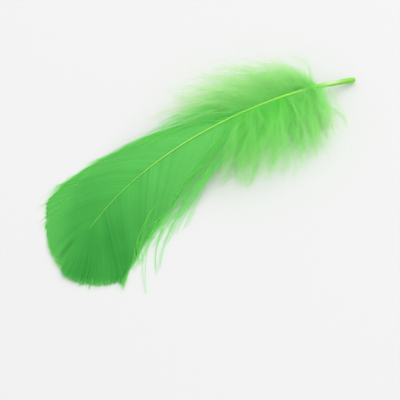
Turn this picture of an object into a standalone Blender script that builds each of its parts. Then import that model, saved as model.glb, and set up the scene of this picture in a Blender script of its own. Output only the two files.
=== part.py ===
"""A goose body feather lying on a table, convex side up: one solid that grew as one piece.

The quill end points along +X and the tip along -X. The shaft runs from the bare, round calamus into
the thin rachis. Forty broad barb locks make the two vanes, and downy locks fan out from its base.
Units are metres. The origin is under the middle of the feather, on the table.
"""

import math
import random

import bpy
from mathutils import Vector

MM = 0.001

# The shaft's line. Seen from above it bends more and more towards the tip, and it arches over the table.
SHAFT_LINE = 124 * MM
RACHIS_END = 109 * MM
PLAN_TURN = math.radians(35.6)
PLAN_POWER = 2.5
PLAN_STEP = 0.5 * MM
ARCH_HEIGHT = 7.0 * MM
ARCH_PEAK = 38 * MM
END_HEIGHT = 0.85 * MM

# Shaft radius by distance from the quill end.
CALAMUS_LENGTH = 14 * MM
CALAMUS_RADIUS = 0.82 * MM
CALAMUS_NECK_RADIUS = 0.68 * MM
QUILL_ROUNDING = 0.9 * MM
RACHIS_BASE_RADIUS = 0.56 * MM
RACHIS_TIP_RADIUS = 0.32 * MM

# Vanes: where barbs start, how far they sweep forward, and how far they reach to each side.
OUTER, INNER = 1, -1
VANE_START = 37 * MM
SWEEP_GAIN = 18 * MM
SWEEP_POWER = {OUTER: 0.8, INNER: 0.44}
VANE_REACH = {OUTER: 17.6 * MM, INNER: 18.3 * MM}
WIDEST_ROOT = {OUTER: 84 * MM, INNER: 99 * MM}
BASE_LOSS = {OUTER: 0.6, INNER: 0.4}
TIP_POWER = {OUTER: 1.1, INNER: 1.05}
CROWN_RADIUS = 34 * MM
SHEET_THICKNESS = 0.7 * MM
TABLE_CLEARANCE = 0.2 * MM
TABLE_SOFTNESS = 0.5 * MM

# Locks of the vanes.
VANE_LOCKS = 20
BARB_STEPS = 9
RIDGE_HEIGHT = 0.28 * MM
DEEP_SPLITS = {OUTER: {3: 0.66, 8: 0.82, 13: 0.86}, INNER: {2: 0.6, 5: 0.74, 10: 0.84, 16: 0.88}}
LOCK_NOTCH = 0.94

# Locks of the down: where they start, how long they are, and how they fan out.
DOWN_START = 16 * MM
DOWN_END = 47 * MM
DOWN_LOCKS = 7
DOWN_WIDTH = 3.6 * MM
DOWN_THICKNESS = 1.0 * MM
DOWN_STEPS = 7
DOWN_SIDES = 6
DOWN_LENGTH = 29 * MM
DOWN_LAYERS = {"low": -7.2 * MM, "middle": -2.4 * MM, "high": 1.8 * MM}
CROWN_LIFT = 2.6 * MM
SEED = 11

TABLE_SIZE = 0.6
SHARP_ANGLE = math.radians(62)


def clear_scene():
    for thing in list(bpy.data.objects):
        bpy.data.objects.remove(thing)


def soft_floor(z, floor, softness):
    """z where it is well above floor, and a smooth bend onto floor where it isn't."""
    gap = z - floor
    return floor + 0.5 * (gap + math.sqrt(gap * gap + softness * softness))


def plan_line():
    """The shaft's line seen from above, as a list of x, y and heading at even steps."""
    x = y = 0.0
    line = []
    for k in range(int(SHAFT_LINE / PLAN_STEP) + 10):
        share = min(1.1, k * PLAN_STEP / RACHIS_END)
        heading = math.pi + PLAN_TURN * (share**PLAN_POWER - 0.5)
        line.append((x, y, heading))
        x += PLAN_STEP * math.cos(heading)
        y += PLAN_STEP * math.sin(heading)
    return line


PLAN = plan_line()


def shaft_height(station):
    """The arch: a parabola up to its peak, then a long ease down to where the tip lies flat."""
    if station < ARCH_PEAK:
        return END_HEIGHT + ARCH_HEIGHT * (1 - ((ARCH_PEAK - station) / ARCH_PEAK) ** 2)
    share = (station - ARCH_PEAK) / (SHAFT_LINE - ARCH_PEAK)
    return END_HEIGHT + ARCH_HEIGHT * (1 + math.cos(math.pi * share)) / 2


def on_feather(station, lateral, height):
    """A point by distance along the shaft's line, distance to its +Y side, and height."""
    k, part = divmod(station / PLAN_STEP, 1)
    before, after = PLAN[int(k)], PLAN[int(k) + 1]
    x, y, heading = (a + (b - a) * part for a, b in zip(before, after))
    return Vector((x + lateral * math.sin(heading), y - lateral * math.cos(heading), height))


def vane_height(station, lateral):
    crown = shaft_height(station) - lateral * lateral / (2 * CROWN_RADIUS)
    return soft_floor(crown, TABLE_CLEARANCE, TABLE_SOFTNESS)


def shaft_radius(station):
    if station < CALAMUS_LENGTH:
        share = station / CALAMUS_LENGTH
        return CALAMUS_RADIUS + (CALAMUS_NECK_RADIUS - CALAMUS_RADIUS) * share**2 * (3 - 2 * share)
    share = (station - CALAMUS_LENGTH) / (RACHIS_END - CALAMUS_LENGTH)
    narrow = RACHIS_BASE_RADIUS + (RACHIS_TIP_RADIUS - RACHIS_BASE_RADIUS) * share
    shoulder = math.exp(-(station - CALAMUS_LENGTH) / (6 * MM))
    return narrow + (CALAMUS_NECK_RADIUS - RACHIS_BASE_RADIUS) * shoulder


def quill_rounding(station):
    """How far the rounded quill end narrows the shaft, as a share of its radius."""
    into = min(1, station / QUILL_ROUNDING)
    return math.sqrt(max(0.1, 1 - (1 - into) ** 2))


def barb_sweep(side, root):
    share = max(0, (RACHIS_END - root) / (RACHIS_END - 40 * MM))
    return SHAFT_LINE - RACHIS_END + SWEEP_GAIN * share ** SWEEP_POWER[side]


def barb_reach(side, root):
    widest = WIDEST_ROOT[side]
    if root < widest:
        share = (widest - root) / (widest - 40 * MM)
        return VANE_REACH[side] * (1 - BASE_LOSS[side] * share**2)
    share = min(1, (root - widest) / (RACHIS_END - widest))
    power = TIP_POWER[side]
    return VANE_REACH[side] * (1 - share**power) ** (1 / power)


def barb_point(side, root, t, lift=0.0):
    """A point at share t of the barb that leaves the shaft at root."""
    station = root + barb_sweep(side, root) * t
    lateral = side * barb_reach(side, root) * (1 - (1 - t) ** 1.6)
    height = vane_height(station, lateral)
    clear = min(1, max(0, (height - 0.5 * MM) / (1.5 * MM)))
    return on_feather(station, lateral, height + lift * clear)


def linked(name, mesh):
    thing = bpy.data.objects.new(name, mesh)
    bpy.context.scene.collection.objects.link(thing)
    return thing


def mesh_object(name, points, faces):
    mesh = bpy.data.meshes.new(name)
    mesh.from_pydata([tuple(p) for p in points], [], faces)
    mesh.validate()
    mesh.shade_smooth()
    mesh.set_sharp_from_angle(angle=SHARP_ANGLE)
    return linked(name, mesh)


def tube(name, centres, rings):
    """A closed tube through centres. Each ring is a list of offsets from its centre."""
    sides = len(rings[0])
    points = [centre + offset for centre, ring in zip(centres, rings) for offset in ring]
    faces = []
    for row in range(len(centres) - 1):
        for k in range(sides):
            a, b = row * sides + k, row * sides + (k + 1) % sides
            faces.append((a, a + sides, b + sides, b))
    faces.append(tuple(range(sides)))
    faces.append(tuple(reversed(range(len(points) - sides, len(points)))))
    return mesh_object(name, points, faces)


def ring_around(ahead, width, thickness, sides, twist=0.0):
    """Offsets of an oval ring that is square to the direction ahead, wide across and thin upward."""
    across = ahead.cross(Vector((0, 0, 1))).normalized()
    up = across.cross(ahead).normalized()
    ring = []
    for k in range(sides):
        turn = 2 * math.pi * k / sides + twist
        ring.append(across * math.cos(turn) * width / 2 + up * math.sin(turn) * thickness / 2)
    return ring


def headings(centres):
    ends = [centres[min(i + 1, len(centres) - 1)] - centres[max(i - 1, 0)] for i in range(len(centres))]
    return [end.normalized() for end in ends]


def make_shaft():
    fine = [0.0, 0.12, 0.4, 0.9, 2.2, 4.0]
    stations = [s * MM for s in fine]
    steps = 26
    stations += [4 * MM + (RACHIS_END - 4 * MM) * (k + 1) / steps for k in range(steps)]
    centres = [on_feather(s, 0, shaft_height(s)) for s in stations]
    rings = []
    for station, ahead in zip(stations, headings(centres)):
        width = 2 * shaft_radius(station) * quill_rounding(station)
        rings.append(ring_around(ahead, width, width, 8, math.pi / 8))
    return tube("feather", centres, rings)


def vane_columns(side):
    """For each lock its ridge, and between locks a valley that stops short of the tips."""
    columns = []
    for k in range(2 * VANE_LOCKS + 1):
        share = k / (2 * VANE_LOCKS)
        root = VANE_START + (RACHIS_END - VANE_START) * share
        ridge = k % 2 == 1
        reach = 1.0 if ridge else DEEP_SPLITS[side].get(k // 2, LOCK_NOTCH)
        last = k == 2 * VANE_LOCKS
        columns.append((root, 1.0 if last else reach, RIDGE_HEIGHT if ridge else 0.0))
    return columns


def vane_row(side, t):
    row = []
    for root, reach, ridge in vane_columns(side):
        along = t * reach
        row.append(barb_point(side, root, along, ridge * min(1, along * 3)))
    return row


def make_vanes():
    """Both vanes as one ridged sheet through the shaft, thickened to a closed solid."""
    rows = [vane_row(OUTER, 1 - k / BARB_STEPS) for k in range(BARB_STEPS)]
    rows += [vane_row(INNER, k / BARB_STEPS) for k in range(BARB_STEPS + 1)]
    width = len(rows[0])
    points = [point for row in rows for point in row]
    faces = []
    for i in range(len(rows) - 1):
        for k in range(width - 1):
            a = i * width + k
            faces.append((a, a + 1, a + 1 + width, a + width))
    vanes = mesh_object("vane_sheet", points, faces)
    weld = vanes.modifiers.new("tip_seam", "WELD")
    weld.merge_threshold = 0.00005
    solid = vanes.modifiers.new("thickness", "SOLIDIFY")
    solid.thickness = SHEET_THICKNESS
    solid.offset = 0
    return vanes


def down_line(side, root, length, rise, dice):
    """Centres of a downy lock that leaves the shaft nearly square and curls towards the tip."""
    share = (root - DOWN_START) / (DOWN_END - DOWN_START)
    first = math.radians(92 - 34 * share + dice.uniform(-8, 8))
    last = math.radians(58 - 30 * share + dice.uniform(-8, 8))
    station, lateral = root, 0.0
    centres = []
    step = length / DOWN_STEPS
    base = shaft_height(root)
    for k in range(DOWN_STEPS + 1):
        t = k / DOWN_STEPS
        bow = math.sin(math.pi * min(1, t * 0.9))
        height = base + rise * (bow if rise > 0 else math.sin(t * math.pi / 2)) - 2.4 * MM * t * t
        height = soft_floor(height, 0.45 * MM, TABLE_SOFTNESS)
        centres.append(on_feather(station, side * lateral, height))
        angle = first + (last - first) * t
        station += step * math.cos(angle)
        lateral += step * math.sin(angle)
    return centres


def make_down_lock(name, side, root, length, rise, dice):
    centres = down_line(side, root, length, rise, dice)
    rings = []
    for k, ahead in enumerate(headings(centres)):
        t = k / DOWN_STEPS
        full = 0.16 + 0.84 * math.sin(math.pi * (0.14 + 0.86 * t)) ** 0.7
        rings.append(ring_around(ahead, DOWN_WIDTH * full, DOWN_THICKNESS * full, DOWN_SIDES))
    return tube(name, centres, rings)


def make_down():
    """Downy locks in three layers to each side, longest next to the vanes."""
    dice = random.Random(SEED)
    locks = []
    for side in (OUTER, INNER):
        for layer, rise in DOWN_LAYERS.items():
            for k in range(DOWN_LOCKS):
                offset = 0.33 * list(DOWN_LAYERS).index(layer)
                share = (k + offset) / (DOWN_LOCKS - 0.34)
                root = DOWN_START + (DOWN_END - DOWN_START) * share
                if layer == "middle" and root > 34 * MM:
                    continue
                grown = 0.55 + 0.45 * math.sin(min(1, share * 1.6) * math.pi / 2)
                length = DOWN_LENGTH * grown * dice.uniform(0.9, 1.06)
                name = f"down_{layer}_{'outer' if side == OUTER else 'inner'}_{k}"
                # Every second lock of the top layer stands up higher, as the crown of the down.
                lift = CROWN_LIFT if layer == "high" and k % 2 == 1 else 0
                locks.append(make_down_lock(name, side, root, length, rise + lift, dice))
    return locks


def make_table():
    """A block under the feather, so that what lies on the table is cut flat there."""
    half, depth = TABLE_SIZE / 2, 0.02
    corners = [(x, y, z) for z in (-depth, 0) for y in (-half, half) for x in (-half, half)]
    faces = [(0, 2, 3, 1), (4, 5, 7, 6), (0, 1, 5, 4), (2, 6, 7, 3), (0, 4, 6, 2), (1, 3, 7, 5)]
    return mesh_object("table_cutter", corners, faces)


def feather_material():
    """Dyed keratin: a soft, satin green."""
    material = bpy.data.materials.new("green_feather")
    material.use_nodes = True
    shader = material.node_tree.nodes["Principled BSDF"]
    shader.inputs["Base Color"].default_value = (0.10, 0.48, 0.10, 1)
    shader.inputs["Roughness"].default_value = 0.55
    shader.inputs["Metallic"].default_value = 0.0
    return material


def hide_helper(thing):
    thing.hide_render = True
    thing.display_type = "WIRE"


def join(body, helpers, operation, solver):
    """One Boolean of body with a collection of closed helpers."""
    group = bpy.data.collections.new(f"{operation.lower()}_helpers")
    bpy.context.scene.collection.children.link(group)
    for thing in helpers:
        bpy.context.scene.collection.objects.unlink(thing)
        group.objects.link(thing)
        hide_helper(thing)
    cut = body.modifiers.new(operation.lower(), "BOOLEAN")
    cut.operation = operation
    cut.solver = solver
    cut.operand_type = "COLLECTION"
    cut.collection = group


def centre_on_table(feather):
    """Parents everything to an empty that brings the middle of the feather's box over the origin."""
    bpy.context.view_layer.update()
    mesh = feather.evaluated_get(bpy.context.evaluated_depsgraph_get()).to_mesh()
    middle = [(min(v.co[i] for v in mesh.vertices) + max(v.co[i] for v in mesh.vertices)) / 2 for i in (0, 1)]
    origin = linked("feather_origin", None)
    for thing in bpy.data.objects:
        if thing.type == "MESH":
            thing.parent = origin
    origin.location = (-middle[0], -middle[1], 0)
    print("quill end at", [round(-1000 * m, 3) for m in middle], "mm")


def main():
    clear_scene()
    feather = make_shaft()
    vanes = make_vanes()
    # The exact solver leaves edges open in this union of so many locks. The manifold one doesn't.
    join(feather, [vanes, *make_down()], "UNION", "MANIFOLD")
    join(feather, [make_table()], "DIFFERENCE", "MANIFOLD")
    feather.data.materials.append(feather_material())
    centre_on_table(feather)


main()
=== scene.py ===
"""A green goose feather lying on a pale table, built barb by barb over its CAD solid.

Shapes are worked out in millimetres, in the feather's own terms. station is the distance along the shaft
from the quill end, lateral is the distance from the shaft towards its outer side, and height is the
distance above the table. on_feather turns them into points in metres. root is the station where a barb
leaves the shaft, and t runs from 0 at the barb's root to 1 at its tip. dice is a random generator with a
fixed seed.
"""

import math

import bpy
import numpy as np
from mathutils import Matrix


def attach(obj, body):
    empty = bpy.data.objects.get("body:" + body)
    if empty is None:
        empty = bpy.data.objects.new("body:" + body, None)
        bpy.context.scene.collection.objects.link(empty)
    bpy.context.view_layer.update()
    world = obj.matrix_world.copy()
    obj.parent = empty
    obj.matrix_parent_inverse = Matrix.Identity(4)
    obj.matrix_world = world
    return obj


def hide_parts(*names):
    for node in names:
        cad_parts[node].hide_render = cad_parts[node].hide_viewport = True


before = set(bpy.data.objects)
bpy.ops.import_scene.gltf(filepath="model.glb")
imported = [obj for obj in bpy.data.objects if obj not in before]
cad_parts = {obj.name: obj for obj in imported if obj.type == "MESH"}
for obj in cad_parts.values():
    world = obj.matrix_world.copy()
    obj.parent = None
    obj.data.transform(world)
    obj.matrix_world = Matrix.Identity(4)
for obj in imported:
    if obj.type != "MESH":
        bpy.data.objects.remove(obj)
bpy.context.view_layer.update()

MM = 0.001

# The feather's line, as in the CAD.
SHAFT_LINE = 124.0
RACHIS_END = 109.0
LINE_SPARE = 12.0
PLAN_TURN = math.radians(35.6)
PLAN_POWER = 2.5
PLAN_STEP = 0.5
PLAN_LIMIT = 1.1
QUILL_END = (59.972, -13.097)
ARCH_HEIGHT = 7.0
ARCH_PEAK = 38.0
END_HEIGHT = 0.85
CROWN_RADIUS = 34.0
VANE_FLOOR = 0.22
VANE_BEND = 0.5
NOISE_KNOTS = 400

# Shaft: the calamus is bare, and the rachis carries the barbs.
CALAMUS_RADIUS = 0.91
CALAMUS_TAPER = 0.05
CALAMUS_END = 14.0
RACHIS_START = 19.0
RACHIS_END_RADIUS = 0.06
RACHIS_MIDDLE_GAIN = 0.29
RACHIS_BASE_GAIN = 0.33
RACHIS_BASE_LENGTH = 12.0
ROUND_END = 0.9
THINNEST = 0.04
SHAFT_LIFT = 0.26
SHAFT_SIDES = 24
GROOVE_DEPTH = 0.28
GROOVE_ANGLE = 0.35
# Stations of the painted highlights on top of the calamus and the rachis.
CALAMUS_HIGHLIGHT = 9.7
RACHIS_HIGHLIGHT = 70.0

# Vanes.
OUTER, INNER = 1, -1
VANE_START = 37.0
LOW_ROOT = 40.0
END_SWEEP = SHAFT_LINE - RACHIS_END
SWEEP_GAIN = 18.0
SWEEP_POWER = {OUTER: 0.8, INNER: 0.44}
VANE_REACH = {OUTER: 17.6, INNER: 18.3}
WIDEST_ROOT = {OUTER: 84.0, INNER: 99.0}
BASE_LOSS = {OUTER: 0.6, INNER: 0.4}
TIP_POWER = {OUTER: 1.1, INNER: 1.05}
BARB_CURVE = 1.6
BARB_GAP = 0.36
BARB_STEPS = 26
ROOT_STEP = 0.01
LOCK_WIDTHS = (1.6, 5.5)
NEAT_ROOTS = (84.0, 98.0)
ROUNDED_CORNER = 3.0
RIBBON_LAP = 0.66
RIBBON_HALVES = (0.06 * MM, 0.42 * MM)
RIBBON_TILT = 0.10
DOWNY_BARBS = 34
FRINGE_EACH = 7
FRINGE_HALF = 0.022 * MM
FRINGE_FLOOR = 0.12 * MM
CREASE_ROOT = 104.6
CREASE_WIDTH = 0.8
CREASE_DEPTH = 0.3
CREASE_FLOOR = 0.16

# Loose barbs. FREE_FLOOR is the least height of those that reach past the vane.
LOOSE_STEPS = 18
LOOSE_ROOTS = (25.0, 47.0)
LOOSE_LENGTH = 31.0
LOOSE_REACH = {OUTER: 12.5, INNER: 13.5}
FUZZ_START = 32.0
FUZZ_SPAN = 21.0
RIM_STEPS = 14
STRAY_STEPS = 24
FREE_FLOOR = 0.2

# Down.
DOWN_START = 15.5
DOWN_END = 44.0
DOWN_STEPS = 22
DOWN_LENGTH = {OUTER: 28.5, INNER: 27.5}
DOWN_SHARE_STEEP = 0.3
DOWN_FLOOR = 0.3
DOWN_BEND = 0.5
DOWN_BARBS = 76
# Root and width of the painted shade in a hollow of the inner down beside the shaft.
SHADED_HOLLOW_ROOT = 32.5
SHADED_HOLLOW_WIDTH = 3.5
WISP_REACH = 1.16
TUFT_STEPS = 18
TUFT_ROOTS = (15.2, 18.8)
TUFT_LENGTHS = (9.0, 17.0)

# The angle from the shaft at which a downy barb leaves and ends, in degrees: for the barbs nearest the
# quill end, and how much less it is for those nearest the vane.
DOWN_LEAVES = {OUTER: (88, 42), INNER: (103, 43)}
DOWN_ENDS = {OUTER: (48, 30), INNER: (60, 30)}

# Layers of down: name, seed, rise over the shaft, tone (painted darker for the lower layers, as shade), and
# barbules on each side of a barb.
DOWN_LAYERS = (
    ("low", 44, -6.0, 0.45, 115),
    ("middle", 47, -2.2, 0.65, 140),
    ("high", 45, 1.6, 0.85, 150),
)
INNER_SEEDS = 20

# Barbules: length and half width, and how far they lean towards the barb's tip.
LOOSE_BARBULE = (0.85 * MM, 0.020 * MM)
VANE_BARBULE = (1.4 * MM, 0.016 * MM)
DOWN_BARBULE = (2.7 * MM, 0.018 * MM)
WISP_BARBULE = (1.9 * MM, 0.014 * MM)
TUFT_BARBULE = (2.1 * MM, 0.016 * MM)
BARBULE_FLOOR = 0.08 * MM
LOOSE_RAKES = (0.35, 0.85)
DOWN_RAKES = (0.05, 0.7)
OFF_AXIS = (0.3, 0.2, 0.93)

# Barbs that have come free below the inner rim: station and lateral of where each starts, of the place that
# it bends towards, and of where it ends.
STRAYS = (
    ((54, -8.5), (75, -19.5), (92, -13.2)),
    ((58, -9.5), (79, -21.0), (96, -14.6)),
    ((62, -10.0), (80, -18.0), (95, -17.5)),
    ((89, -12.8), (98, -13.5), (107, -19.5)),
    ((90, -13.4), (98, -15.5), (120, -24.8)),
    ((58, -11.0), (74, -17.5), (88, -21.5)),
)

# A bundle of barbs that hangs together from the inner rim, given in the same way.
BUNDLE = (
    ((60, -11.0), (75, -16.5), (91, -14.2)),
    ((60, -11.0), (76, -18.0), (89, -19.0)),
    ((62, -12.0), (77, -18.5), (95, -22.0)),
    ((64, -12.0), (74, -18.0), (84, -22.5)),
    ((66, -12.5), (84, -17.5), (105, -26.0)),
    ((70, -13.0), (90, -16.0), (109, -26.0)),
    ((68, -13.0), (85, -17.5), (99, -20.0)),
    ((74, -14.0), (92, -17.0), (108, -19.5)),
)

# Camera: its direction and distance from the point that it looks at.
VIEW_AZIMUTH = -41.16
VIEW_ELEVATION = 62.0
VIEW_DISTANCE = 301.4
VIEW_TARGET = (-12.45, -14.41, 4.0)
LENS = 85.0
SENSOR = 36.0

# Table and light, with the table's half width in metres.
TABLE_HALF = 1.2
TABLE_GREY = 0.78
SKY_STRENGTH = 0.87


def smooth(low, high, x):
    """0 at low and beyond it, 1 at high and beyond it, and smooth between them. Either may be greater."""
    t = np.clip((x - low) / (high - low), 0, 1)
    return t * t * (3 - 2 * t)


def soft_floor(z, floor, bend):
    """z where it is well above floor, and a smooth bend onto floor where it isn't."""
    gap = z - floor
    return floor + 0.5 * (gap + np.sqrt(gap * gap + bend * bend))


def hump(x, middle, width):
    """1 at middle, falling to 0 on either side."""
    return np.exp(-(((x - middle) / width) ** 2))


def wave(x, seed, period):
    """Smooth noise between -1 and 1 along x, with bumps about a period apart."""
    knots = np.random.default_rng(seed).uniform(-1, 1, NOISE_KNOTS)
    place = np.asarray(x) / period + NOISE_KNOTS // 4
    before = np.floor(place).astype(int)
    share = smooth(0, 1, place - before)
    return knots[before % NOISE_KNOTS] * (1 - share) + knots[(before + 1) % NOISE_KNOTS] * share


def sway(dice, t, pace, count):
    """A sine along each barb, which starts anywhere in its cycle."""
    return np.sin(t * pace + dice.uniform(0, 6, (count, 1)))


def stacked(*values):
    """The values side by side along a new last axis, each spread to the shape that they share."""
    return np.stack(np.broadcast_arrays(*values), -1)


def unit(vectors):
    return vectors / np.linalg.norm(vectors, axis=-1, keepdims=True)


# The feather's own space.


def plan_line():
    """Station, x, y and heading at even steps along the shaft, seen from above."""
    station = np.arange(0, SHAFT_LINE + LINE_SPARE, PLAN_STEP)
    share = np.minimum(PLAN_LIMIT, station / RACHIS_END)
    heading = math.pi + PLAN_TURN * (share**PLAN_POWER - 0.5)
    x = QUILL_END[0] + np.concatenate([[0], np.cumsum(np.cos(heading[:-1])) * PLAN_STEP])
    y = QUILL_END[1] + np.concatenate([[0], np.cumsum(np.sin(heading[:-1])) * PLAN_STEP])
    return station, x, y, heading


PLAN = plan_line()


def on_feather(station, lateral, height):
    """Points in metres."""
    steps, xs, ys, headings = PLAN
    x = np.interp(station, steps, xs)
    y = np.interp(station, steps, ys)
    heading = np.interp(station, steps, headings)
    return stacked(x + lateral * np.sin(heading), y - lateral * np.cos(heading), height) * MM


def shaft_height(station):
    rise = 1 - ((ARCH_PEAK - station) / ARCH_PEAK) ** 2
    share = np.clip((station - ARCH_PEAK) / (SHAFT_LINE - ARCH_PEAK), 0, 1)
    fall = (1 + np.cos(math.pi * share)) / 2
    return END_HEIGHT + ARCH_HEIGHT * np.where(station < ARCH_PEAK, rise, fall)


def vane_height(station, lateral):
    crown = shaft_height(station) - lateral**2 / (2 * CROWN_RADIUS)
    return soft_floor(crown, VANE_FLOOR, VANE_BEND)


# Meshes. A tone is three values at a point: the barb's tone, the share along it, and its fluff. On the shaft
# the fluff carries painted highlights.


def add_mesh(name, points, quads, triangles, tones, material, rounded):
    """A mesh object that keeps the tones in the attribute barb."""
    mesh = bpy.data.meshes.new(name)
    corners = np.concatenate([quads.reshape(-1), triangles.reshape(-1)])
    starts = np.concatenate([np.arange(len(quads)) * 4, len(quads) * 4 + np.arange(len(triangles)) * 3])
    mesh.vertices.add(len(points))
    mesh.vertices.foreach_set("co", points.astype(np.float32).reshape(-1))
    mesh.loops.add(len(corners))
    mesh.loops.foreach_set("vertex_index", corners.astype(np.int32))
    mesh.polygons.add(len(starts))
    mesh.polygons.foreach_set("loop_start", starts.astype(np.int32))
    mesh.update(calc_edges=True)
    mesh.validate()
    colours = np.ones((len(points), 4), np.float32)
    colours[:, :3] = tones
    layer = mesh.color_attributes.new("barb", "FLOAT_COLOR", "POINT")
    layer.data.foreach_set("color", colours.reshape(-1))
    if rounded:
        mesh.shade_smooth()
    else:
        mesh.shade_flat()
    mesh.materials.append(material)
    piece = bpy.data.objects.new(name, mesh)
    bpy.context.scene.collection.objects.link(piece)
    return piece


def tube_faces(count, steps, sides):
    """Quads round and triangles across the ends of closed tubes, whose points come ring by ring."""
    rings = np.arange(count)[:, None, None] * steps + np.arange(steps - 1)[None, :, None]
    k = np.arange(sides)
    a, b = rings * sides + k, rings * sides + (k + 1) % sides
    quads = np.stack([a, a + sides, b + sides, b], -1).reshape(-1, 4)
    first = np.arange(count)[:, None] * steps * sides
    last = first + (steps - 1) * sides
    fan = np.arange(1, sides - 1)
    start = stacked(first, first + fan, first + fan + 1).reshape(-1, 3)
    end = stacked(last, last + fan + 1, last + fan).reshape(-1, 3)
    return quads, np.concatenate([start, end])


def tubes(centres, across, up, half_width, half_height, tone, share, fluff, sides=4):
    """Closed thin tubes, one for each row of centres, as points, quads, triangles and tones.

    centres, across and up are (tubes, steps, 3). The half sizes are (tubes, steps), in metres.
    """
    turn = 2 * math.pi * np.arange(sides) / sides
    wide = (np.cos(turn) * half_width[:, :, None])[..., None]
    tall = (np.sin(turn) * half_height[:, :, None])[..., None]
    points = centres[:, :, None] + (across[:, :, None] * wide + up[:, :, None] * tall)
    quads, triangles = tube_faces(*centres.shape[:2], sides)
    tones = np.repeat(stacked(tone, share, fluff)[:, :, None], sides, 2)
    return points.reshape(-1, 3), quads, triangles, tones.reshape(-1, 3)


def spikes(roots, tips, half_width, tone, share, fluff):
    """Closed three-sided hairs that run to a point, as points, quads, triangles and tones."""
    along = tips - roots
    side = unit(np.cross(along, OFF_AXIS))
    other = unit(np.cross(along, side))
    turn = 2 * math.pi * np.arange(3) / 3
    ring = side[:, None] * np.cos(turn)[:, None] + other[:, None] * np.sin(turn)[:, None]
    ring = ring * np.reshape(half_width, (-1, 1, 1))
    points = np.concatenate([roots[:, None] + ring, tips[:, None]], 1).reshape(-1, 3)
    base = np.arange(len(roots))[:, None] * 4
    k = np.arange(3)
    walls = stacked(base + k, base + (k + 1) % 3, base + 3).reshape(-1, 3)
    foot = np.concatenate([base + 2, base + 1, base], 1)
    tones = np.repeat(stacked(tone, share, fluff), 4, 0)
    return points, np.zeros((0, 4), int), np.concatenate([walls, foot]), tones


def merged(parts):
    """One set of points, quads, triangles and tones from several."""
    points, quads, triangles, tones, shift = [], [], [], [], 0
    for p, q, t, c in parts:
        points.append(p)
        quads.append(q + shift)
        triangles.append(t + shift)
        tones.append(c)
        shift += len(p)
    return np.concatenate(points), np.concatenate(quads), np.concatenate(triangles), np.concatenate(tones)


def frames_along(centres):
    """Directions ahead, across and up at every point of each row of centres."""
    ahead = unit(np.gradient(centres, axis=1))
    across = unit(np.cross(ahead, [0.0, 0.0, 1.0]))
    return ahead, across, np.cross(across, ahead)


def add_piece(name, parts, material, rounded=False):
    piece = add_mesh(name, *merged(parts), material, rounded)
    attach(piece, "root")
    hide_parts("feather")


# Materials.


def math_node(tree, operation, *values, clamp=False):
    made = tree.nodes.new("ShaderNodeMath")
    made.operation = operation
    made.use_clamp = clamp
    for socket, value in zip(made.inputs, values):
        if isinstance(value, (int, float)):
            socket.default_value = value
        else:
            tree.links.new(value, socket)
    return made.outputs[0]


def mix_colour(tree, factor, a, b):
    made = tree.nodes.new("ShaderNodeMix")
    made.data_type = "RGBA"
    sockets = {s.identifier: s for s in made.inputs}
    for key, value in (("Factor_Float", factor), ("A_Color", a), ("B_Color", b)):
        if isinstance(value, tuple):
            sockets[key].default_value = value
        else:
            tree.links.new(value, sockets[key])
    return [s for s in made.outputs if s.identifier == "Result_Color"][0]


def noise(tree, scale, detail, roughness=0.5):
    """Noise that is fixed to the feather."""
    place = tree.nodes.new("ShaderNodeTexCoord")
    made = tree.nodes.new("ShaderNodeTexNoise")
    made.inputs["Scale"].default_value = scale
    made.inputs["Detail"].default_value = detail
    made.inputs["Roughness"].default_value = roughness
    tree.links.new(place.outputs["Object"], made.inputs["Vector"])
    return made.outputs["Fac"]


def tone_values(tree):
    """The barb's tone, the share along it and its fluff, as add_mesh keeps them."""
    barb = tree.nodes.new("ShaderNodeAttribute")
    barb.attribute_name = "barb"
    parts = tree.nodes.new("ShaderNodeSeparateColor")
    tree.links.new(barb.outputs["Color"], parts.inputs["Color"])
    return parts.outputs


def fine_bump(tree, grain, shader):
    bump = tree.nodes.new("ShaderNodeBump")
    bump.inputs["Strength"].default_value = 0.15
    bump.inputs["Distance"].default_value = 0.03 * MM
    tree.links.new(grain, bump.inputs["Height"])
    tree.links.new(bump.outputs["Normal"], shader.inputs["Normal"])


def feather_material(
    name, deep, main, pale, through, roughness, translucency, sheen=0.1, glow_by=(1.0, 0.0)
):
    """Dyed keratin: deep to main by tone, then pale by fluff, with a share of light passing through.

    glow_by says how much the share along the barb and the fluff turn that light from through to pale.
    """
    material = bpy.data.materials.new(name)
    material.use_nodes = True
    tree = material.node_tree
    shader = tree.nodes["Principled BSDF"]
    tone, along, fluff = tone_values(tree)
    cloud = noise(tree, 70.0, 3.0, 0.55)
    grain = noise(tree, 2200.0, 2.0)
    uneven = math_node(tree, "MULTIPLY_ADD", cloud, 0.4, -0.2)
    mottled = math_node(tree, "ADD", uneven, tone, clamp=True)
    body = mix_colour(tree, mottled, deep, main)
    tree.links.new(mix_colour(tree, fluff, body, pale), shader.inputs["Base Color"])
    rough = math_node(tree, "MULTIPLY_ADD", grain, 0.2, roughness - 0.1)
    tree.links.new(rough, shader.inputs["Roughness"])
    shader.inputs["Sheen Weight"].default_value = sheen
    shader.inputs["Sheen Roughness"].default_value = 0.4
    shader.inputs["IOR"].default_value = 1.54
    shader.inputs["Specular IOR Level"].default_value = 0.3
    fine_bump(tree, grain, shader)
    by_place = math_node(tree, "MULTIPLY", along, glow_by[0])
    by_fluff = math_node(tree, "MULTIPLY", fluff, glow_by[1])
    lit = math_node(tree, "ADD", by_fluff, by_place, clamp=True)
    glow = tree.nodes.new("ShaderNodeBsdfTranslucent")
    tree.links.new(mix_colour(tree, lit, through, pale), glow.inputs["Color"])
    blend = tree.nodes.new("ShaderNodeMixShader")
    blend.inputs["Fac"].default_value = translucency
    tree.links.new(shader.outputs["BSDF"], blend.inputs[1])
    tree.links.new(glow.outputs["BSDF"], blend.inputs[2])
    tree.links.new(blend.outputs["Shader"], tree.nodes["Material Output"].inputs["Surface"])
    return material


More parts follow.
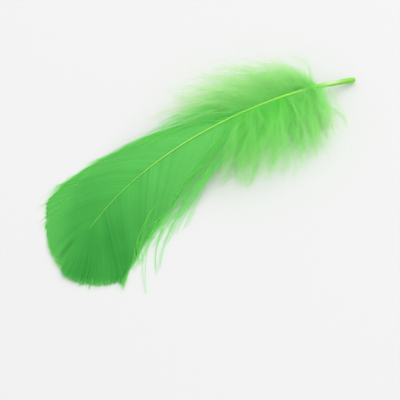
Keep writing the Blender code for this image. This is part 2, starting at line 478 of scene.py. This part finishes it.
VANE_GREEN = feather_material(
    "vane_green",
    deep=(0.019, 0.345, 0.031, 1),
    main=(0.126, 0.715, 0.113, 1),
    pale=(0.235, 0.80, 0.18, 1),
    through=(0.145, 0.80, 0.11, 1),
    roughness=0.55,
    translucency=0.24,
)
STRAND_GREEN = feather_material(
    "strand_green",
    deep=(0.22, 0.88, 0.175, 1),
    main=(0.34, 0.94, 0.275, 1),
    pale=(0.50, 0.97, 0.42, 1),
    through=(0.44, 0.95, 0.36, 1),
    roughness=0.5,
    translucency=0.6,
)
DOWN_GREEN = feather_material(
    "down_green",
    deep=(0.17, 0.92, 0.12, 1),
    main=(0.56, 0.998, 0.42, 1),
    pale=(0.88, 1.0, 0.79, 1),
    through=(0.58, 1.0, 0.46, 1),
    roughness=0.6,
    translucency=0.86,
    sheen=0.4,
    glow_by=(0.4, 0.5),
)
QUILL_GREEN = feather_material(
    "quill_green",
    deep=(0.22, 0.72, 0.03, 1),
    main=(0.45, 0.98, 0.16, 1),
    # pale is also the colour of the painted highlights on top of the shaft.
    pale=(0.78, 0.95, 0.50, 1),
    through=(0.60, 0.96, 0.20, 1),
    roughness=0.28,
    translucency=0.25,
)


# Shaft.


def shaft_radius(station):
    calamus = CALAMUS_RADIUS - CALAMUS_TAPER * smooth(2, CALAMUS_END, station)
    base = RACHIS_BASE_GAIN * np.exp(-np.maximum(0, station - CALAMUS_END) / RACHIS_BASE_LENGTH)
    rachis = RACHIS_END_RADIUS + RACHIS_MIDDLE_GAIN * (1 - smooth(34, 102, station)) + base
    return rachis + (calamus - rachis) * (1 - smooth(CALAMUS_END, RACHIS_START, station))


def shaft_tones(station, turn):
    """Painted shade down the sides of the calamus, and painted highlights on top at two places."""
    ridge = smooth(0.35, 0.98, np.sin(turn))
    # pale here is painted highlight, laid on the upward-facing top of the shaft.
    pale = 1.2 * hump(station, CALAMUS_HIGHLIGHT, 3.3) + 0.35 * hump(station, RACHIS_HIGHLIGHT, 7)
    tone = 0.34 + 0.12 * wave(station, 5, 5) + 0.5 * smooth(14, 24, station)
    # Painted shade: the sides of the calamus are darker than its top.
    tone = tone[:, None] - 0.45 * (1 - ridge) * smooth(20, 12, station)[:, None]
    share = (station / SHAFT_LINE)[:, None]
    return stacked(np.clip(tone, 0, 1), share, pale[:, None] * ridge).reshape(-1, 3)


def add_shaft():
    """The calamus with its rounded, closed end, and the rachis that thins out into the vane."""
    station = np.concatenate([[0, 0.12, 0.4, 0.9, 1.6, 2.6], np.linspace(4, RACHIS_END + 2, 120)])
    rounding = np.sqrt(np.clip(1 - (1 - np.minimum(1, station / ROUND_END)) ** 2, 0.02, 1))
    radius = shaft_radius(np.minimum(station, RACHIS_END - 0.5)) * rounding
    radius = np.maximum(radius * (1 - 0.5 * smooth(RACHIS_END - 8, RACHIS_END + 2, station)), THINNEST)
    lift = SHAFT_LIFT - SHAFT_LIFT * smooth(96, 110, station)
    centres = on_feather(station, 0.06 * wave(station, 3, 9), shaft_height(station) + lift)[None]
    _, across, up = frames_along(centres)
    turn = 2 * math.pi * np.arange(SHAFT_SIDES) / SHAFT_SIDES
    from_below = (turn + math.pi / 2 + math.pi) % (2 * math.pi) - math.pi
    groove = 1 - GROOVE_DEPTH * hump(from_below, 0, GROOVE_ANGLE) * smooth(14, 28, station)[:, None]
    flat = 1 - 0.12 * smooth(12, 30, station)
    wide = (np.cos(turn) * radius[:, None] * groove)[..., None]
    tall = (np.sin(turn) * (radius * flat)[:, None] * groove)[..., None]
    points = centres[0][:, None] + (across[0][:, None] * wide + up[0][:, None] * tall) * MM
    quads, triangles = tube_faces(1, len(station), SHAFT_SIDES)
    part = points.reshape(-1, 3), quads, triangles, shaft_tones(station, turn)
    add_piece("shaft", [part], QUILL_GREEN, rounded=True)


# Vanes.


def outward(t, power=BARB_CURVE):
    """How far out a barb has come by t, as a share of its reach."""
    return 1 - (1 - t) ** power


def barb_sweep(side, root):
    """How far a barb runs on along the shaft."""
    share = np.clip((RACHIS_END - root) / (RACHIS_END - LOW_ROOT), 0, None)
    return END_SWEEP + SWEEP_GAIN * share ** SWEEP_POWER[side]


def barb_reach(side, root):
    """How far a barb reaches out from the shaft."""
    widest = WIDEST_ROOT[side]
    below = 1 - BASE_LOSS[side] * (np.clip(widest - root, 0, None) / (widest - LOW_ROOT)) ** 2
    share = np.clip((root - widest) / (RACHIS_END - widest), 0, 1)
    power = TIP_POWER[side]
    return VANE_REACH[side] * np.where(root < widest, below, (1 - share**power) ** (1 / power))


def vane_roots():
    """Roots a BARB_GAP apart, and closer near the tip."""
    fine = np.arange(VANE_START, RACHIS_END, ROOT_STEP)
    turns = np.cumsum(ROOT_STEP / (BARB_GAP * (1 - 0.5 * smooth(82, 104, fine))))
    return np.interp(np.arange(0, turns[-1]), turns, fine)


def lock_edges(dice):
    """The roots where the vane splits into locks of barbs."""
    edges = [VANE_START - 0.5]
    while edges[-1] < RACHIS_END:
        edges.append(edges[-1] + dice.uniform(*LOCK_WIDTHS))
    return np.array(edges)


def barb_lengths(side, root, seed, dice):
    """How far along its curve each barb goes: ragged, except where the vane is neat near the tip."""
    ragged = 1 - 0.7 * smooth(*NEAT_ROOTS, root)
    length = 1 + 0.012 * dice.normal(size=root.shape) - 0.03 * ragged * np.abs(wave(root, seed, 1.3))
    length = length - 0.055 * smooth(103.5, RACHIS_END, root) ** 2
    if side == INNER:
        length = length - 0.075 * hump(root, WIDEST_ROOT[INNER], ROUNDED_CORNER)
    return length


def crease_share(side, root, t):
    """1 along the bottom of the short crease in the outer vane, and 0 away from it."""
    if side == INNER:
        return np.zeros_like(t)
    return smooth(0.36, 0.64, t) * smooth(0.98, 0.78, t) * hump(root, CREASE_ROOT, CREASE_WIDTH)


def vane_barbs(side, seed):
    """Centres of every barb of one vane, with its tones and its t. Barbs of a lock draw together."""
    dice = np.random.default_rng(seed)
    root = vane_roots()[:, None]
    edges = lock_edges(dice)
    lock = np.searchsorted(edges, root) - 1
    pull = dice.uniform(0.02, 0.16, len(edges)) * (1 - 0.85 * smooth(*NEAT_ROOTS, edges))
    start = dice.uniform(0.62, 0.9, len(edges))
    lift = dice.uniform(-0.13, 0.13, len(edges))
    t = np.linspace(0, 1, BARB_STEPS)[None] ** 0.9 * barb_lengths(side, root, seed + 1, dice)
    gather = smooth(0, 1, (t - start[lock]) / (1.02 - start[lock]))
    centre = (edges[lock] + edges[lock + 1]) / 2
    source = root + (centre - root) * pull[lock] * gather
    station = source + barb_sweep(side, source) * t
    lateral = side * barb_reach(side, source) * outward(np.minimum(t, 1))
    lateral = lateral + 0.10 * dice.normal(size=root.shape) * t**3
    lateral = lateral - side * 0.9 * smooth(100, RACHIS_END, root) * t
    crease = crease_share(side, source, t)
    height = vane_height(station, lateral) + lift[lock] * smooth(0.5, 1, t)
    height = height + 0.02 * wave(root, seed + 2, 0.9) * t + 0.18 * wave(source, seed + 3, 9) * t
    height = np.maximum(height - CREASE_DEPTH * crease, CREASE_FLOOR)
    tone = 0.74 + 0.06 * dice.normal(size=root.shape) + 0.07 * wave(root, seed + 4, 2.4)
    # Painted shade: the vane is painted darker towards the tip, more on its inner side, and along the crease.
    painted_shade = 0.24 + 0.38 * smooth(14, -9, lateral)
    tone = tone - painted_shade * smooth(72, 112, station) - 0.4 * crease
    return on_feather(station, lateral, height), np.clip(tone, 0, 1), t


def add_vane(name, side, seed):
    """One vane as closed ribbons that lap over each other like tiles, each tapering at the rim."""
    centres, tone, t = vane_barbs(side, seed)
    ahead, across, up = frames_along(centres)
    gap = np.abs((np.gradient(centres, axis=0) * across).sum(-1))
    half = np.clip(gap * RIBBON_LAP, *RIBBON_HALVES)
    half = half * (1 - 0.9 * smooth(0.93, 1.03, t)) + 0.012 * MM
    tilt = RIBBON_TILT * side
    lean = across * math.cos(tilt) + up * math.sin(tilt)
    rise = up * math.cos(tilt) - across * math.sin(tilt)
    thick = 0.01 * MM + 0.15 * half
    rim = 0.24 * smooth(0.5, 1.0, t) if side == OUTER else 0.3 * smooth(0.86, 1.0, t)
    base = np.linspace(1, 0, len(t))[:, None]
    pale = np.clip(rim + 0.5 * smooth(0.3, 1.0, base), 0, 1)
    ribbons = tubes(centres, lean, rise, half, thick, tone, np.minimum(t, 1), pale)
    dice = np.random.default_rng(seed + 5)
    frayed = fringe(centres, ahead, across, tone, dice)
    outer_part = centres[:DOWNY_BARBS, BARB_STEPS // 3 :]
    downy = barbules(outer_part, dice, 60, VANE_BARBULE, tone[:DOWNY_BARBS, -1], 0.8, LOOSE_RAKES)
    add_piece(name, [ribbons], VANE_GREEN)
    add_piece(name + "_fringe", [frayed, downy], STRAND_GREEN)


def fringe(centres, ahead, across, tone, dice):
    """Fine short hairs that carry each barb on past its end, so that the rim is soft."""
    foot = np.repeat(centres[:, -2], FRINGE_EACH, 0)
    fore = np.repeat(ahead[:, -2], FRINGE_EACH, 0)
    wide = np.repeat(across[:, -2], FRINGE_EACH, 0)
    count = len(foot)
    foot = foot + wide * dice.uniform(-0.2, 0.2, (count, 1)) * MM
    reach = fore * dice.uniform(0.5, 2.4, (count, 1)) + wide * dice.normal(size=(count, 1)) * 0.3
    tips = foot + reach * MM
    tips[:, 2] = np.maximum(tips[:, 2] + dice.uniform(-0.1, 0.2, count) * MM, FRINGE_FLOOR)
    tone = np.repeat(np.clip(tone[:, -1] + 0.2, 0, 1), FRINGE_EACH)
    return spikes(foot, tips, FRINGE_HALF, tone, 1.0, 0.4)


def barbules(centres, dice, per_side, size, tone, fluff, rakes):
    """Barbules along both sides of each barb. size is a length and a half width, in metres.

    tone has one value for a barb or one for each of its steps, and fluff one for all or for a barb.
    """
    count, steps, _ = centres.shape
    length, half_width = size
    where = np.linspace(0.03, 0.995, per_side)[None] + dice.uniform(-0.4, 0.4, (count, per_side)) / per_side
    where = np.clip(where, 0, 1)
    row = np.arange(count)[:, None]
    k = np.minimum((where * (steps - 1)).astype(int), steps - 2)
    f = (where * (steps - 1) - k)[..., None]

    def pick(field):
        return field[row, k] * (1 - f) + field[row, k + 1] * f

    foot, fore, wide, high = (pick(field) for field in (centres, *frames_along(centres)))
    tones = pick(np.broadcast_to(np.reshape(tone, (count, -1)), (count, steps))[..., None]).reshape(-1)
    paleness = (np.reshape(fluff, (-1, 1)) * (0.55 + 0.45 * where)).reshape(-1)
    thin = half_width * (1 - 0.45 * where.reshape(-1))
    made = []
    for hand in (1, -1):
        reach = length * (1 - 0.45 * where**2) * dice.uniform(0.6, 1.15, where.shape)
        rake = dice.uniform(*rakes, where.shape)[..., None]
        swing = dice.uniform(-0.75, 0.75, where.shape)[..., None]
        lean = unit(wide * hand * (1 - 0.3 * rake) + fore * rake + high * swing)
        tips = foot + lean * reach[..., None]
        tips[..., 2] = np.maximum(tips[..., 2], BARBULE_FLOOR)
        ends = foot.reshape(-1, 3), tips.reshape(-1, 3)
        made.append(spikes(*ends, thin, tones, where.reshape(-1), paleness))
    return merged(made)


# Loose barbs along the base and the rims of the vanes.


def barb_tones(dice, count, middle, spread):
    return np.clip(middle + spread * dice.normal(size=(count, 1)), 0, 1)


def loose_piece(name, dice, centres, t, tone, half_width, per_side, fluff=0.4):
    """Barbs with short barbules. half_width is in millimetres."""
    _, across, up = frames_along(centres)
    width = half_width * MM * (1 - 0.7 * t)
    body = tubes(centres, across, up, width, width * 0.6, tone, t, fluff - 0.2 + 0.3 * t)
    hairs = barbules(centres, dice, per_side, LOOSE_BARBULE, tone, fluff, LOOSE_RAKES)
    add_piece(name, [body, hairs], STRAND_GREEN)


def add_loose(name, side, seed, count):
    """Unhooked barbs between the down and the vane, free of each other."""
    dice = np.random.default_rng(seed)
    low, high = LOOSE_ROOTS
    root = np.sort(dice.uniform(low, high, (count, 1)), 0)
    share = (root - low) / (high - low)
    t = np.linspace(0, 1, LOOSE_STEPS)[None]
    length = LOOSE_LENGTH + dice.uniform(-4, 3, (count, 1)) - 5 * (1 - share)
    reach = (LOOSE_REACH[side] + dice.uniform(-3.5, 1.2, (count, 1))) * (1 - 0.12 * share)
    station = root + length * (t**1.08) * 0.93
    lateral = side * (reach * outward(t, 1.5) + 0.7 * dice.normal(size=(count, 1)) * t**2)
    lateral = lateral + 0.35 * sway(dice, t, 5, count) * t
    height = vane_height(station, lateral) + dice.uniform(-0.9, 0.6, (count, 1)) * t + 0.1
    centres = on_feather(station, lateral, np.maximum(height, FREE_FLOOR))
    tone = barb_tones(dice, count, 0.6, 0.25)
    loose_piece(name, dice, centres, t, tone, half_width=0.13, per_side=90)


def add_fuzz(name, side, seed, count):
    """Loose fine barbs that lie on the vane near its base and cover its first edge."""
    dice = np.random.default_rng(seed)
    root = FUZZ_START + FUZZ_SPAN * dice.uniform(size=(count, 1)) ** 1.3
    t = np.linspace(0, 1, LOOSE_STEPS)[None]
    length = dice.uniform(0.5, 1.0, (count, 1))
    station = root + barb_sweep(side, root) * t * length
    reach = barb_reach(side, root) * dice.uniform(0.75, 1.3, (count, 1))
    lateral = side * reach * outward(t * length)
    lateral = lateral + (0.3 * dice.normal(size=(count, 1)) - 0.4 * side) * (1 - t) ** 4
    lateral = lateral + 0.35 * sway(dice, t, 5, count) * t
    over = dice.uniform(0.15, 0.6, (count, 1)) * (0.4 + np.sin(math.pi * t))
    centres = on_feather(station, lateral, vane_height(station, lateral) + over)
    tone = barb_tones(dice, count, 0.8, 0.2)
    loose_piece(name, dice, centres, t, tone, half_width=0.06, per_side=50, fluff=0.75)


def add_rim(name, side, seed, count, roots, spread, leaves=(0.45, 0.85)):
    """Barbs that have come free of the vane's rim and stand out from it one by one.

    leaves gives the least and the greatest t at which they leave the vane, and spread how far they go.
    """
    dice = np.random.default_rng(seed)
    root = np.sort(dice.uniform(*roots, (count, 1)), 0)
    part = dice.uniform(*leaves, (count, 1))
    t = part + (1 - part) * np.linspace(0, 1, RIM_STEPS)[None]
    away = spread * np.abs(dice.normal(size=(count, 1))) * smooth(0, 1, (t - part) / (1.05 - part))
    length = dice.uniform(0.92, 1.12, (count, 1))
    station = root + barb_sweep(side, root) * t * length - 0.35 * away * t
    lateral = side * (barb_reach(side, root) * outward(t) * 1.01 + away)
    lateral = lateral + 0.2 * sway(dice, t, 6, count) * t**2
    free = (t - part) / (1 - part)
    height = vane_height(station, lateral) - 0.1 + 0.25 * free
    height = height + dice.uniform(-0.1, 0.8, (count, 1)) * free**2
    centres = on_feather(station, lateral, np.maximum(height, FREE_FLOOR))
    tone = barb_tones(dice, count, 0.6, 0.25)
    loose_piece(name, dice, centres, free, tone, half_width=0.09, per_side=40)


def add_strays(name, seed, courses, copies, scatter, per_side):
    """Free barbs: copies of every course, scattered in station and lateral, each bent smoothly."""
    dice = np.random.default_rng(seed)
    places = np.repeat(np.array(courses), copies, 0)
    count = len(places)
    places = places + dice.normal(size=places.shape) * scatter
    first, middle, last = (places[:, k, None] for k in range(3))
    t = np.linspace(0, 1, STRAY_STEPS)[None, :, None]
    course = first * (1 - t) ** 2 + 2 * middle * t * (1 - t) + last * t**2
    station, lateral, t = course[..., 0], course[..., 1], t[..., 0]
    lateral = lateral + 0.15 * sway(dice, t, 9, count)
    height = vane_height(station, lateral) + 0.15 + 0.5 * np.sin(math.pi * t)
    centres = on_feather(station, lateral, np.maximum(height, FREE_FLOOR))
    tone = dice.uniform(0.5, 1, (count, 1))
    loose_piece(name, dice, centres, t, tone, half_width=0.11, per_side=per_side)


# Down.


def downy_piece(name, dice, centres, t, half_width, taper, tone, paleness, per_side, size, fluff):
    """Barbs with long barbules. half_width is in millimetres. paleness is their own fluff at their roots."""
    _, across, up = frames_along(centres)
    width = half_width * MM * (1 - taper * t)
    body = tubes(centres, across, up, width, width, tone, t, paleness + 0.4 * t, sides=3)
    hairs = barbules(centres, dice, per_side, size, tone, fluff, DOWN_RAKES)
    add_piece(name, [body, hairs], DOWN_GREEN)


def down_angles(side, share, t, dice):
    """The barbs' angles from the shaft, in radians. Some are steeper, and all are wavy."""
    shape = share.shape
    near, fall = DOWN_LEAVES[side]
    near_end, fall_end = DOWN_ENDS[side]
    steep = np.where(dice.uniform(size=shape) < DOWN_SHARE_STEEP, dice.uniform(8, 28, shape), 0) * (1 - share)
    spread = 9 + (13 * np.exp(-share / 0.1) if side == INNER else 0)
    first = near - fall * share + dice.normal(size=shape) * spread + 0.6 * steep
    last = near_end - fall_end * share + dice.normal(size=shape) * 11 + steep
    angle = np.radians(first + (last - first) * t)
    angle = angle + 0.32 * sway(dice, t, dice.uniform(3, 9, shape), len(share))
    return angle + 0.2 * t * sway(dice, t, dice.uniform(11, 18, shape), len(share))


def down_centres(side, count, rise, dice, reach=1.0, last_root=DOWN_END):
    """Centres, t and root of barbs that leave the shaft nearly square and bend towards the tip."""
    root = np.sort(dice.uniform(DOWN_START, last_root, (count, 1)), 0)
    share = (root - DOWN_START) / (DOWN_END - DOWN_START)
    grown = 0.55 + 0.45 * np.sin(np.minimum(1, share * 1.7) * math.pi / 2)
    length = DOWN_LENGTH[side] * grown * dice.uniform(0.56, 1.1, (count, 1)) * reach
    t = np.linspace(0, 1, DOWN_STEPS)[None]
    angle = down_angles(side, share, t, dice)
    step = length / (DOWN_STEPS - 1)
    station = root + np.cumsum(np.cos(angle) * step, 1) - np.cos(angle[:, :1]) * step
    lateral = np.cumsum(np.sin(angle) * step, 1) - np.sin(angle[:, :1]) * step
    lift = rise + dice.normal(size=(count, 1)) * 1.3
    bow = np.where(lift > 0, np.sin(math.pi * 0.9 * t), np.sin(math.pi * t / 2))
    height = shaft_height(root) + lift * bow - 2.4 * t * t + 0.3 * sway(dice, t, 7, count) * t
    station = np.clip(station, 0, SHAFT_LINE)
    return on_feather(station, side * lateral, soft_floor(height, DOWN_FLOOR, DOWN_BEND)), t, root


def add_down(name, side, seed, rise, shade, per_side):
    """One layer of the down on one side, with painted shade in a hollow beside the shaft on the inner side.
    """
    dice = np.random.default_rng(seed)
    centres, t, root = down_centres(side, DOWN_BARBS, rise, dice)
    # shade is the layer's tone, painted darker for the lower layers as shade.
    tone = shade + (0.06 if side == OUTER else 0) + 0.16 * dice.normal(size=(DOWN_BARBS, 1))
    fluff = 1.6
    if side == INNER:
        # Painted shade: darker near the shaft in the hollow.
        tone = tone * (1 - 0.9 * hump(root, SHADED_HOLLOW_ROOT, SHADED_HOLLOW_WIDTH) * smooth(0.5, 0.1, t))
        fluff = 0.45 + 0.8 * np.exp(-(root - DOWN_START) / 5)
    downy_piece(
        name, dice, centres, t, half_width=0.055, taper=0.75, tone=np.clip(tone, 0, 1), paleness=0.15,
        per_side=per_side, size=DOWN_BARBULE, fluff=fluff)


def add_wisps(name, side, seed, count, reach=WISP_REACH, last_root=DOWN_END):
    """Long single barbs that stand out of the down and thin away, from DOWN_START to last_root."""
    dice = np.random.default_rng(seed)
    centres, t, _ = down_centres(side, count, 2.2, dice, reach, last_root)
    downy_piece(
        name, dice, centres, t, half_width=0.04, taper=0.7, tone=barb_tones(dice, count, 0.6, 0.2),
        paleness=0.5, per_side=60, size=WISP_BARBULE, fluff=0.9)


def add_tuft(name, seed, count):
    """Down that crosses over the shaft just where the bare quill ends."""
    dice = np.random.default_rng(seed)
    root = np.sort(dice.uniform(*TUFT_ROOTS, (count, 1)), 0)
    t = np.linspace(0, 1, TUFT_STEPS)[None]
    hand = np.where(np.arange(count) % 3 == 0, -1.0, 1.0)[:, None]
    step = dice.uniform(*TUFT_LENGTHS, (count, 1)) / (TUFT_STEPS - 1)
    angle = np.radians(dice.uniform(28, 66, (count, 1))) - 0.5 * t
    station = root + np.cumsum(np.cos(angle) * step, 1)
    lateral = hand * (np.cumsum(np.sin(angle) * step, 1) - 1.3)
    over = 0.75 + dice.uniform(0.1, 1.2, (count, 1)) * np.sin(math.pi * t * 0.9)
    centres = on_feather(station, lateral, shaft_height(station) + over - 1.5 * t**2)
    downy_piece(
        name, dice, centres, t, half_width=0.05, taper=0.7, tone=barb_tones(dice, count, 0.8, 0.2),
        paleness=0.4, per_side=90, size=TUFT_BARBULE, fluff=1.3)


add_shaft()
add_vane("vane_outer", OUTER, seed=21)
add_vane("vane_inner", INNER, seed=22)
add_loose("loose_outer", OUTER, seed=31, count=46)
add_loose("loose_inner", INNER, seed=32, count=60)
add_fuzz("fuzz_outer", OUTER, seed=36, count=44)
add_fuzz("fuzz_inner", INNER, seed=37, count=40)
add_rim("rim_outer", OUTER, seed=33, count=60, roots=(38, 92), spread=0.8)
add_rim("rim_inner", INNER, seed=34, count=50, roots=(42, 88), spread=1.5)
add_rim("rim_tip", INNER, seed=38, count=20, roots=(92, 107), spread=0.5, leaves=(0.78, 0.93))
for label, seed, rise, shade, per_side in DOWN_LAYERS:
    add_down(f"down_outer_{label}", OUTER, seed, rise, shade, per_side)
    add_down(f"down_inner_{label}", INNER, seed + INNER_SEEDS, rise, shade, per_side)
add_strays("strays", seed=35, courses=STRAYS, copies=2, scatter=(2.2, 1.0), per_side=70)
add_strays("bundle", seed=39, courses=BUNDLE, copies=3, scatter=(1.3, 0.5), per_side=40)
add_wisps("wisps_outer", OUTER, seed=81, count=42)
add_wisps("wisps_inner", INNER, seed=82, count=32)
add_wisps("wisps_base", INNER, seed=84, count=20, reach=1.2, last_root=21.0)
add_tuft("tuft", seed=83, count=20)


# Table, light and camera.


def direction(azimuth, elevation):
    """The direction from the middle of the scene to what stands at these angles, in degrees."""
    az, el = math.radians(azimuth), math.radians(elevation)
    return np.array([math.sin(az) * math.cos(el), -math.cos(az) * math.cos(el), math.sin(el)])


def place_at(name, data, place, azimuth, elevation):
    """A lamp or camera at place that looks back along its direction."""
    holder = bpy.data.objects.new(name, data)
    bpy.context.scene.collection.objects.link(holder)
    holder.location = place
    holder.rotation_euler = (math.radians(90 - elevation), 0, math.radians(azimuth))
    return holder


def add_table():
    mesh = bpy.data.meshes.new("table")
    corners = [(x * TABLE_HALF, y * TABLE_HALF, 0) for x, y in ((-1, -1), (1, -1), (1, 1), (-1, 1))]
    mesh.from_pydata(corners, [], [(0, 1, 2, 3)])
    table = bpy.data.objects.new("table", mesh)
    bpy.context.scene.collection.objects.link(table)
    paper = bpy.data.materials.new("pale_table")
    paper.use_nodes = True
    shader = paper.node_tree.nodes["Principled BSDF"]
    shader.inputs["Base Color"].default_value = (TABLE_GREY, TABLE_GREY, TABLE_GREY, 1)
    shader.inputs["Roughness"].default_value = 0.7
    mesh.materials.append(paper)


def add_light(name, azimuth, elevation, distance, size, power):
    light = bpy.data.lights.new(name, "AREA")
    light.energy = power
    light.shape = "DISK"
    light.size = size
    place_at(name, light, direction(azimuth, elevation) * distance, azimuth, elevation)


def add_camera():
    camera = bpy.data.cameras.new("camera")
    camera.lens = LENS
    camera.sensor_width = SENSOR
    place = (np.array(VIEW_TARGET) + direction(VIEW_AZIMUTH, VIEW_ELEVATION) * VIEW_DISTANCE) * MM
    bpy.context.scene.camera = place_at("camera", camera, place, VIEW_AZIMUTH, VIEW_ELEVATION)


def set_world():
    world = bpy.data.worlds.new("studio")
    world.use_nodes = True
    sky = world.node_tree.nodes["Background"]
    sky.inputs["Color"].default_value = (1, 1, 1, 1)
    sky.inputs["Strength"].default_value = SKY_STRENGTH
    bpy.context.scene.world = world
    bpy.context.scene.view_settings.view_transform = "Standard"


add_table()
add_light("key", azimuth=100, elevation=58, distance=1.5, size=2.2, power=11.0)
add_camera()
set_world()
